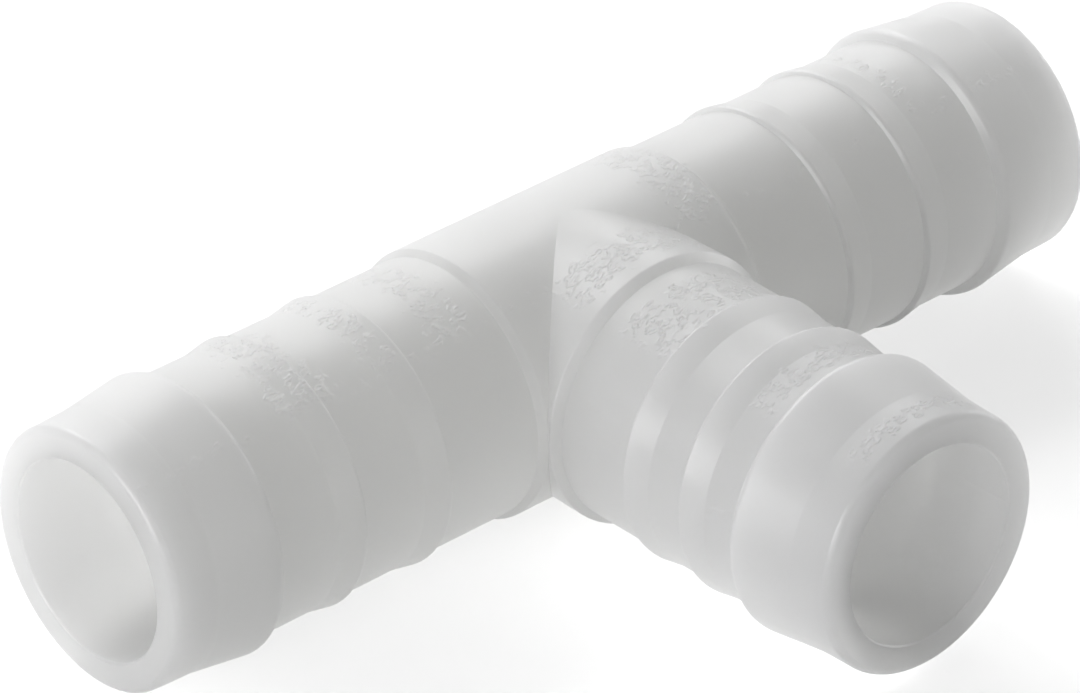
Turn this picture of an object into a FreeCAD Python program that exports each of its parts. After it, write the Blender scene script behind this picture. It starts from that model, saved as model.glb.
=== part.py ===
import FreeCAD, Part
import math
import os

# Hose barb tee, one injection moulding. Millimetres, +Z up.
# The run lies along X, the branch points along -Y, and the origin is where their axes cross.

# Reach of the arms
run_length = 86.0
branch_reach = 37.2

# Waterway and wall
bore_diameter = 14.9
wall_thickness = 2.3
bore_edge_break = 0.12

# Hub, the plain middle that each hose is pushed up to
hub_reach = 10.3
run_hub_step = 0.44
branch_hub_step = 0.6
hub_shoulder_length = 0.6
hub_edge_round = 0.2
branch_crown_drop = 0.03

# Nose, the nearly plain lead-in at each mouth, with a rounded rim
nose_length = 3.6
nose_taper = 0.1
rim_round = 0.55

# Barbs, laid out from the mouth towards the hub while there is room above the hub's plain land
first_crest_setback = 8.65
run_barb_pitch = 7.65
branch_barb_pitch = 5.55
first_barb_rise = 0.76
first_crest_round = 0.6
barb_rise = 0.37
crest_round = 0.28
barb_lead_length = 2.2
barb_back_angle = 60.0
least_hub_land = 4.0

bore_radius = bore_diameter / 2
barrel_radius = bore_radius + wall_thickness
run_hub_radius = barrel_radius + run_hub_step
branch_hub_radius = barrel_radius + branch_hub_step
branch_crown_radius = run_hub_radius - branch_crown_drop
hub_end = hub_reach + hub_shoulder_length
run_reach = run_length / 2

# Share of a straight stretch that one rounding may use up
ROUNDING_SHARE = 0.48


def barb_corners(crest, rise, rounding, lead_end, lead_radius):
    """Corners (distance from the hub's centre, radius, rounding) of one barb, crisp at both feet."""
    back_length = rise / math.tan(math.radians(barb_back_angle))
    return [
        (crest - back_length, barrel_radius, 0),
        (crest, barrel_radius + rise, rounding),
        (lead_end, lead_radius, 0),
    ]


def arm_corners(reach, pitch, hub_radius):
    """Corners of an arm's outside, from the edge of the hub out to the rim of the mouth."""
    first_crest = reach - first_crest_setback
    room = first_crest - hub_end - least_hub_land
    barb_count = 1 + max(0, math.floor(room / pitch))
    corners = [
        (hub_reach, hub_radius, hub_edge_round),
        (hub_end, barrel_radius, 0),
    ]
    for place in range(barb_count - 1, 0, -1):
        crest = first_crest - place * pitch
        lead_end = crest + barb_lead_length
        corners += barb_corners(crest, barb_rise, crest_round, lead_end, barrel_radius)
    nose_start = reach - nose_length
    nose_radius = barrel_radius + nose_taper
    corners += barb_corners(first_crest, first_barb_rise, first_crest_round, nose_start, nose_radius)
    corners.append((reach, barrel_radius, rim_round))
    return corners


def rounded_edges(corners):
    """Lines through the corners, with each corner replaced by an arc tangent to both its lines."""
    points = [FreeCAD.Vector(distance, radius, 0) for distance, radius, rounding in corners]
    edges = []
    last = points[0]
    for index in range(1, len(points) - 1):
        corner = points[index]
        before = points[index - 1] - corner
        after = points[index + 1] - corner
        half_angle = before.getAngle(after) / 2
        room = ROUNDING_SHARE * min(before.Length, after.Length)
        tangent = min(corners[index][2] / math.tan(half_angle), room)
        if tangent > 0:
            radius = tangent * math.tan(half_angle)
            before.normalize()
            after.normalize()
            middle = (before + after).normalize() * (radius / math.sin(half_angle) - radius)
            start = corner + before * tangent
            end = corner + after * tangent
            edges.append(Part.LineSegment(last, start).toShape())
            edges.append(Part.Arc(start, corner + middle, end).toShape())
            last = end
        else:
            edges.append(Part.LineSegment(last, corner).toShape())
            last = corner
    edges.append(Part.LineSegment(last, points[-1]).toShape())
    return edges


def turned(corners):
    """Solid turned about X from an outline that starts and ends on the axis."""
    edges = rounded_edges(corners)
    start = FreeCAD.Vector(corners[0][0], 0, 0)
    end = FreeCAD.Vector(corners[-1][0], 0, 0)
    edges.append(Part.LineSegment(end, start).toShape())
    face = Part.Face(Part.Wire(edges))
    return face.revolve(FreeCAD.Vector(0, 0, 0), FreeCAD.Vector(1, 0, 0), 360)


def on_axis(distance):
    return (distance, 0, 0)


def mirrored(corners):
    return [(-distance, radius, rounding) for distance, radius, rounding in reversed(corners)]


def run_blank():
    """Both run arms and the hub between them, solid, along X."""
    arm = arm_corners(run_reach, run_barb_pitch, run_hub_radius)
    return turned([on_axis(-run_reach)] + mirrored(arm) + arm + [on_axis(run_reach)])


def branch_blank():
    """The branch arm, solid, from inside the hub out along X, before it is turned to -Y."""
    arm = arm_corners(branch_reach, branch_barb_pitch, branch_hub_radius)
    return turned([on_axis(0), (0, branch_crown_radius, 0)] + arm + [on_axis(branch_reach)])


def core(reach):
    """The space inside one arm, from the hub's centre out along X, opened by a small bevel at the mouth."""
    return turned([
        on_axis(0),
        (0, bore_radius, 0),
        (reach - bore_edge_break, bore_radius, 0),
        (reach, bore_radius + bore_edge_break, 0),
        on_axis(reach),
    ])


def to_branch(shape):
    """The shape turned from +X to the branch's direction, -Y."""
    return shape.rotated(FreeCAD.Vector(0, 0, 0), FreeCAD.Vector(0, 0, 1), -90)


def to_left(shape):
    """The shape turned from +X to -X."""
    return shape.rotated(FreeCAD.Vector(0, 0, 0), FreeCAD.Vector(0, 0, 1), 180)


def waterway():
    """The mould's three cores, which meet at the hub's centre."""
    run_core = core(run_reach)
    return run_core.fuse([to_left(run_core), to_branch(core(branch_reach))])


def tee_body():
    blank = run_blank().fuse(to_branch(branch_blank()))
    return blank.cut(waterway())


os.makedirs("parts", exist_ok=True)
tee_body().Solids[0].exportStep("parts/tee_body.step")
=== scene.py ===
import math

import bpy
from mathutils import Matrix, Vector


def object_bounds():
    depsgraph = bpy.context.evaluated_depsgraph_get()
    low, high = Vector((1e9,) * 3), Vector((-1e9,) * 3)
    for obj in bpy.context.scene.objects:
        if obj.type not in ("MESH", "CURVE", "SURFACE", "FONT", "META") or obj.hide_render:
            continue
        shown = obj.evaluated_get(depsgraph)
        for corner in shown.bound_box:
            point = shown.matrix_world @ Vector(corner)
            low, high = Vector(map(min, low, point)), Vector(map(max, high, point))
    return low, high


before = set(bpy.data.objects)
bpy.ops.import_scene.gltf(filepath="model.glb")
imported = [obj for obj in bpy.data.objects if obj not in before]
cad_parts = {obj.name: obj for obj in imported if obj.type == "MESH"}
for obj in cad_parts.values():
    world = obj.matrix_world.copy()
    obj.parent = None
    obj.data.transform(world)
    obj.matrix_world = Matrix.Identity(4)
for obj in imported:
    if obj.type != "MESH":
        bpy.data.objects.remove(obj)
cad_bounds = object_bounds()

# The photograph's frame, in pixels, and where the crossing of the axes falls in it
IMAGE_WIDTH, IMAGE_HEIGHT = 1080, 693
CROSSING_PIXEL = (561.0, 331.4)

# Camera: a long lens, looking down on the tee from the front left
AZIMUTH_DEG = -41.45
ELEVATION_DEG = 32.07
ROLL_DEG = 0.77
DISTANCE = 0.4787
PIXELS_PER_METRE = 14122.0
SENSOR_WIDTH_MM = 36.0
CLIP_START = 0.05

WHITE = (1, 1, 1, 1)
BLACK = (0, 0, 0, 1)

# Stage; the lift is light that the floor gives off only where it is seen, to whiten it
FLOOR_SIZE = 3.0
FLOOR_COLOUR = (0.85, 0.85, 0.85, 1)
FLOOR_LIFT = 0.62

# Soft lamps all round: name, azimuth and elevation in degrees, width in metres and watts
SOFTBOX_DISTANCE = 1.0
SOFTBOXES = (
    ("left", -90, 8, 0.65, 9.6),
    ("high_back", 180, 40, 0.45, 3.5),
    ("right", 90, 8, 0.6, 2.5),
    ("high_back_right", 150, 38, 0.6, 2.2),
    ("front", 0, 8, 0.6, 0.9),
    ("high_right", 120, 38, 0.6, 1.5),
    ("back_right", 150, 8, 0.6, 1.2),
)

# Plastic: pale and milky, so light crosses the wall and is passed on many times inside the bores
PLASTIC_COLOUR = (0.985, 0.985, 0.98, 1)
PLASTIC_SHADE = (0.955, 0.955, 0.95, 1)
PLASTIC_ROUGHNESS = 0.33
PLASTIC_IOR = 1.48
SCATTER_SHARE = 1.0
SCATTER_DEPTH = 0.022
SCATTER_BY_CHANNEL = (1.0, 1.0, 0.97)
SHADE_SCALE = 120

# Low waves left by moulding
WAVE_SCALE = 260
WAVE_HEIGHT = 0.00006

# Times that light may be passed on; the usual 4 leaves the bores dark
DIFFUSE_BOUNCES = 24
MAX_BOUNCES = 32

# Wrinkled grain on the top of the moulding: start, end and strength of each stretch that carries it,
# by X on the run and by Y on the branch
RUN_GRAIN = (
    (-0.031, -0.024, 0.9),
    (-0.0225, -0.019, 0.8),
    (-0.017, -0.0115, 0.8),
    (0.0055, 0.0118, 0.9),
    (0.0285, 0.0315, 0.55),
)
BRANCH_GRAIN = (
    (-0.0365, -0.034, 0.8),
    (-0.028, -0.0245, 0.9),
    (-0.0185, -0.0112, 1.0),
    (-0.010, -0.0045, 1.0),
)
RUN_GRAIN_EDGE_Y = -0.0065
STRETCH_MARGIN = 0.001

# Its patches: their edge follows the clumps, and they fade out as the face turns from the top
EDGE_RAGGEDNESS = 0.9
EDGE_OFFSET = -0.12
EDGE_SOFTNESS = 0.25
LEAST_UPWARD = 0.78
FULLY_UPWARD = 0.9

# Its wrinkles: ridges between two noise levels, gathered in clumps between two more
RIDGE_SCALE = 3800
RIDGE_STRETCH = (0.55, 1, 1)
RIDGE_FOOT, RIDGE_TOP = 0.35, 0.65
CLUMP_SCALE = 1500
CLUMP_BARE, CLUMP_FULL = 0.62, 0.42
GRAIN_HEIGHT = 0.00010


def direction(azimuth_deg, elevation_deg):
    """Unit vector away from the tee; azimuth 0 is in front, at -Y, and 90 is at +X."""
    azimuth, elevation = math.radians(azimuth_deg), math.radians(elevation_deg)
    return Vector((
        math.sin(azimuth) * math.cos(elevation),
        -math.cos(azimuth) * math.cos(elevation),
        math.sin(elevation)))


class Graph:
    """A material's or world's nodes, added one by one and linked as they are added."""

    def __init__(self, tree):
        self.tree = tree
        tree.nodes.clear()

    def add(self, kind, inputs=None, **settings):
        node = self.tree.nodes.new(kind)
        for name, value in settings.items():
            setattr(node, name, value)
        for name, value in (inputs or {}).items():
            socket = node.inputs[name]
            if isinstance(value, bpy.types.NodeSocket):
                self.tree.links.new(value, socket)
            else:
                socket.default_value = value
        return node

    def math(self, operation, *values):
        return self.add("ShaderNodeMath", dict(enumerate(values)), operation=operation).outputs[0]


def seen_directly(graph):
    """1 for rays from the camera or from a glossy or clear surface, 0 for those that light matt ones."""
    path = graph.add("ShaderNodeLightPath").outputs
    shown = graph.math("MAXIMUM", path["Is Camera Ray"], path["Is Glossy Ray"])
    return graph.math("MAXIMUM", shown, path["Is Transmission Ray"])


def noise(graph, position, scale):
    """Smooth noise around 0.5; the scale is in cells a metre."""
    settings = {"Vector": position, "Scale": scale, "Detail": 0.0}
    return graph.add("ShaderNodeTexNoise", settings).outputs["Fac"]


def ramp(graph, value, low, high):
    """0 at low and before it, 1 at high and past it, smooth between."""
    limits = {"Value": value, "From Min": low, "From Max": high}
    return graph.add("ShaderNodeMapRange", limits, interpolation_type="SMOOTHSTEP").outputs[0]


def stretches(graph, distance, limits):
    """Each stretch's strength at its middle, fading to 0 at its ends."""
    low = limits[0][0] - STRETCH_MARGIN
    high = limits[-1][1] + STRETCH_MARGIN
    scaled = graph.add("ShaderNodeMapRange", {"Value": distance, "From Min": low, "From Max": high})
    profile = graph.add("ShaderNodeValToRGB", {"Fac": scaled.outputs[0]})
    stops = profile.color_ramp.elements
    stops[0].position = 0.0
    stops[0].color = BLACK
    stops[1].position = 1.0
    stops[1].color = BLACK
    for start, end, strength in limits:
        middle = (start + end) / 2
        for place, value in ((start, 0), (middle, strength), (end, 0)):
            stops.new((place - low) / (high - low)).color = (value, value, value, 1)
    return profile.outputs["Color"]


def grain_patches(graph, position, mottle):
    """1 in each patch of grain and 0 away from them, with ragged edges, on upper faces only."""
    place = graph.add("ShaderNodeSeparateXYZ", {0: position}).outputs
    behind_branch = graph.math("GREATER_THAN", place["Y"], RUN_GRAIN_EDGE_Y)
    on_run = graph.math("MULTIPLY", stretches(graph, place["X"], RUN_GRAIN), behind_branch)
    grained = graph.math("MAXIMUM", on_run, stretches(graph, place["Y"], BRANCH_GRAIN))
    edge = graph.math("MULTIPLY_ADD", mottle, EDGE_RAGGEDNESS, EDGE_OFFSET)
    inside = ramp(graph, grained, edge, graph.math("ADD", edge, EDGE_SOFTNESS))
    normal = graph.add("ShaderNodeTexCoord").outputs["Normal"]
    upward = graph.add("ShaderNodeSeparateXYZ", {0: normal}).outputs["Z"]
    return graph.math("MULTIPLY", inside, ramp(graph, upward, LEAST_UPWARD, FULLY_UPWARD))


def wrinkles(graph, position, mottle):
    """Short low ridges in clumps, longest along X."""
    factors = {0: position, 1: RIDGE_STRETCH}
    stretched = graph.add("ShaderNodeVectorMath", factors, operation="MULTIPLY").outputs[0]
    ridges = ramp(graph, noise(graph, stretched, RIDGE_SCALE), RIDGE_FOOT, RIDGE_TOP)
    clumps = ramp(graph, mottle, CLUMP_BARE, CLUMP_FULL)
    return graph.math("MULTIPLY", ridges, clumps)


def relief(graph, position, grained):
    """Height of the skin in metres: low waves, and wrinkled grain where the face may carry it."""
    wavy = graph.math("MULTIPLY", noise(graph, position, WAVE_SCALE), WAVE_HEIGHT)
    if not grained:
        return wavy
    mottle = noise(graph, position, CLUMP_SCALE)
    patches = grain_patches(graph, position, mottle)
    grain = graph.math("MULTIPLY", wrinkles(graph, position, mottle), patches)
    return graph.math("MULTIPLY_ADD", grain, GRAIN_HEIGHT, wavy)


def moulded_plastic(name, grained):
    """Natural white moulded plastic, milky through and through, plain or with patches of wrinkled grain."""
    material = bpy.data.materials.new(name)
    material.use_nodes = True
    graph = Graph(material.node_tree)
    position = graph.add("ShaderNodeTexCoord").outputs["Object"]

    shade = noise(graph, position, SHADE_SCALE)
    colour = graph.add("ShaderNodeMix", {"Factor": shade}, data_type="RGBA")
    colour.inputs["A"].default_value = PLASTIC_SHADE
    colour.inputs["B"].default_value = PLASTIC_COLOUR
    height = relief(graph, position, grained)
    bump = graph.add("ShaderNodeBump", {"Height": height, "Distance": 1.0})

    surface = graph.add("ShaderNodeBsdfPrincipled", {
        "Base Color": colour.outputs["Result"],
        "Roughness": PLASTIC_ROUGHNESS,
        "IOR": PLASTIC_IOR,
        "Subsurface Weight": SCATTER_SHARE,
        "Subsurface Radius": SCATTER_BY_CHANNEL,
        "Subsurface Scale": SCATTER_DEPTH,
        "Normal": bump.outputs["Normal"],
    })
    graph.add("ShaderNodeOutputMaterial", {"Surface": surface.outputs["BSDF"]})
    return material


def floor_material():
    """A matt floor that lights the tee as a plain one does, and is lifted to white where it is seen."""
    material = bpy.data.materials.new("floor")
    material.use_nodes = True
    graph = Graph(material.node_tree)
    surface = graph.add("ShaderNodeBsdfDiffuse", {"Color": FLOOR_COLOUR})
    strength = graph.math("MULTIPLY", seen_directly(graph), FLOOR_LIFT)
    lift = graph.add("ShaderNodeEmission", {"Color": WHITE, "Strength": strength})
    whole = graph.add("ShaderNodeAddShader", {0: surface.outputs[0], 1: lift.outputs[0]})
    graph.add("ShaderNodeOutputMaterial", {"Surface": whole.outputs[0]})
    return material


def dress_tee():
    """Plain plastic all over, with the grained kind on the outside's top, the faces that look up."""
    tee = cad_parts["tee_body"]
    tee.data.materials.clear()
    tee.data.materials.append(moulded_plastic("moulded_white_plastic", grained=False))
    tee.data.materials.append(moulded_plastic("moulded_white_plastic_grained", grained=True))
    for face in tee.data.polygons:
        on_top = face.center.z > 0 and face.normal.z > LEAST_UPWARD
        face.material_index = int(on_top)


def lay_floor():
    bpy.ops.mesh.primitive_plane_add(size=FLOOR_SIZE, location=(0, 0, cad_bounds[0][2]))
    floor = bpy.context.object
    floor.name = "floor"
    floor.data.materials.append(floor_material())


def light_world():
    """A world that is white where it is seen, directly or in a reflection, and gives no light."""
    world = bpy.data.worlds.new("studio")
    bpy.context.scene.world = world
    world.use_nodes = True
    graph = Graph(world.node_tree)
    seen = graph.add("ShaderNodeBackground", {"Color": WHITE, "Strength": seen_directly(graph)})
    graph.add("ShaderNodeOutputWorld", {"Surface": seen.outputs[0]})


def softbox(name, azimuth_deg, elevation_deg, width, watts):
    """A square area lamp that faces the tee from that direction."""
    away = direction(azimuth_deg, elevation_deg)
    lamp = bpy.data.lights.new(name, "AREA")
    lamp.size = width
    lamp.energy = watts
    holder = bpy.data.objects.new(name, lamp)
    holder.location = away * SOFTBOX_DISTANCE
    holder.rotation_euler = away.to_track_quat("Z", "Y").to_euler()
    bpy.context.scene.collection.objects.link(holder)


def place_lamps():
    for name, azimuth_deg, elevation_deg, width, watts in SOFTBOXES:
        softbox(name, azimuth_deg, elevation_deg, width, watts)


def place_camera():
    """The photograph's camera: turned by the roll, and set aside so that the crossing falls on its pixel."""
    back = direction(AZIMUTH_DEG, ELEVATION_DEG)
    azimuth = math.radians(AZIMUTH_DEG)
    level_right = Vector((math.cos(azimuth), math.sin(azimuth), 0))
    level_up = back.cross(level_right)
    roll = math.radians(ROLL_DEG)
    right = math.cos(roll) * level_right - math.sin(roll) * level_up
    up = back.cross(right)
    aside = (CROSSING_PIXEL[0] - IMAGE_WIDTH / 2) / PIXELS_PER_METRE
    above = (IMAGE_HEIGHT / 2 - CROSSING_PIXEL[1]) / PIXELS_PER_METRE
    place = back * DISTANCE - right * aside - up * above

    camera_data = bpy.data.cameras.new("camera")
    camera_data.sensor_width = SENSOR_WIDTH_MM
    camera_data.lens = PIXELS_PER_METRE * DISTANCE / IMAGE_WIDTH * SENSOR_WIDTH_MM
    camera_data.clip_start = CLIP_START
    camera = bpy.data.objects.new("camera", camera_data)
    turn = Matrix((right, up, back)).transposed().to_4x4()
    camera.matrix_world = Matrix.Translation(place) @ turn
    bpy.context.scene.collection.objects.link(camera)
    bpy.context.scene.camera = camera


dress_tee()
lay_floor()
light_world()
place_lamps()
place_camera()
bpy.context.scene.view_settings.view_transform = "Standard"
bpy.context.scene.cycles.max_bounces = MAX_BOUNCES
bpy.context.scene.cycles.diffuse_bounces = DIFFUSE_BOUNCES
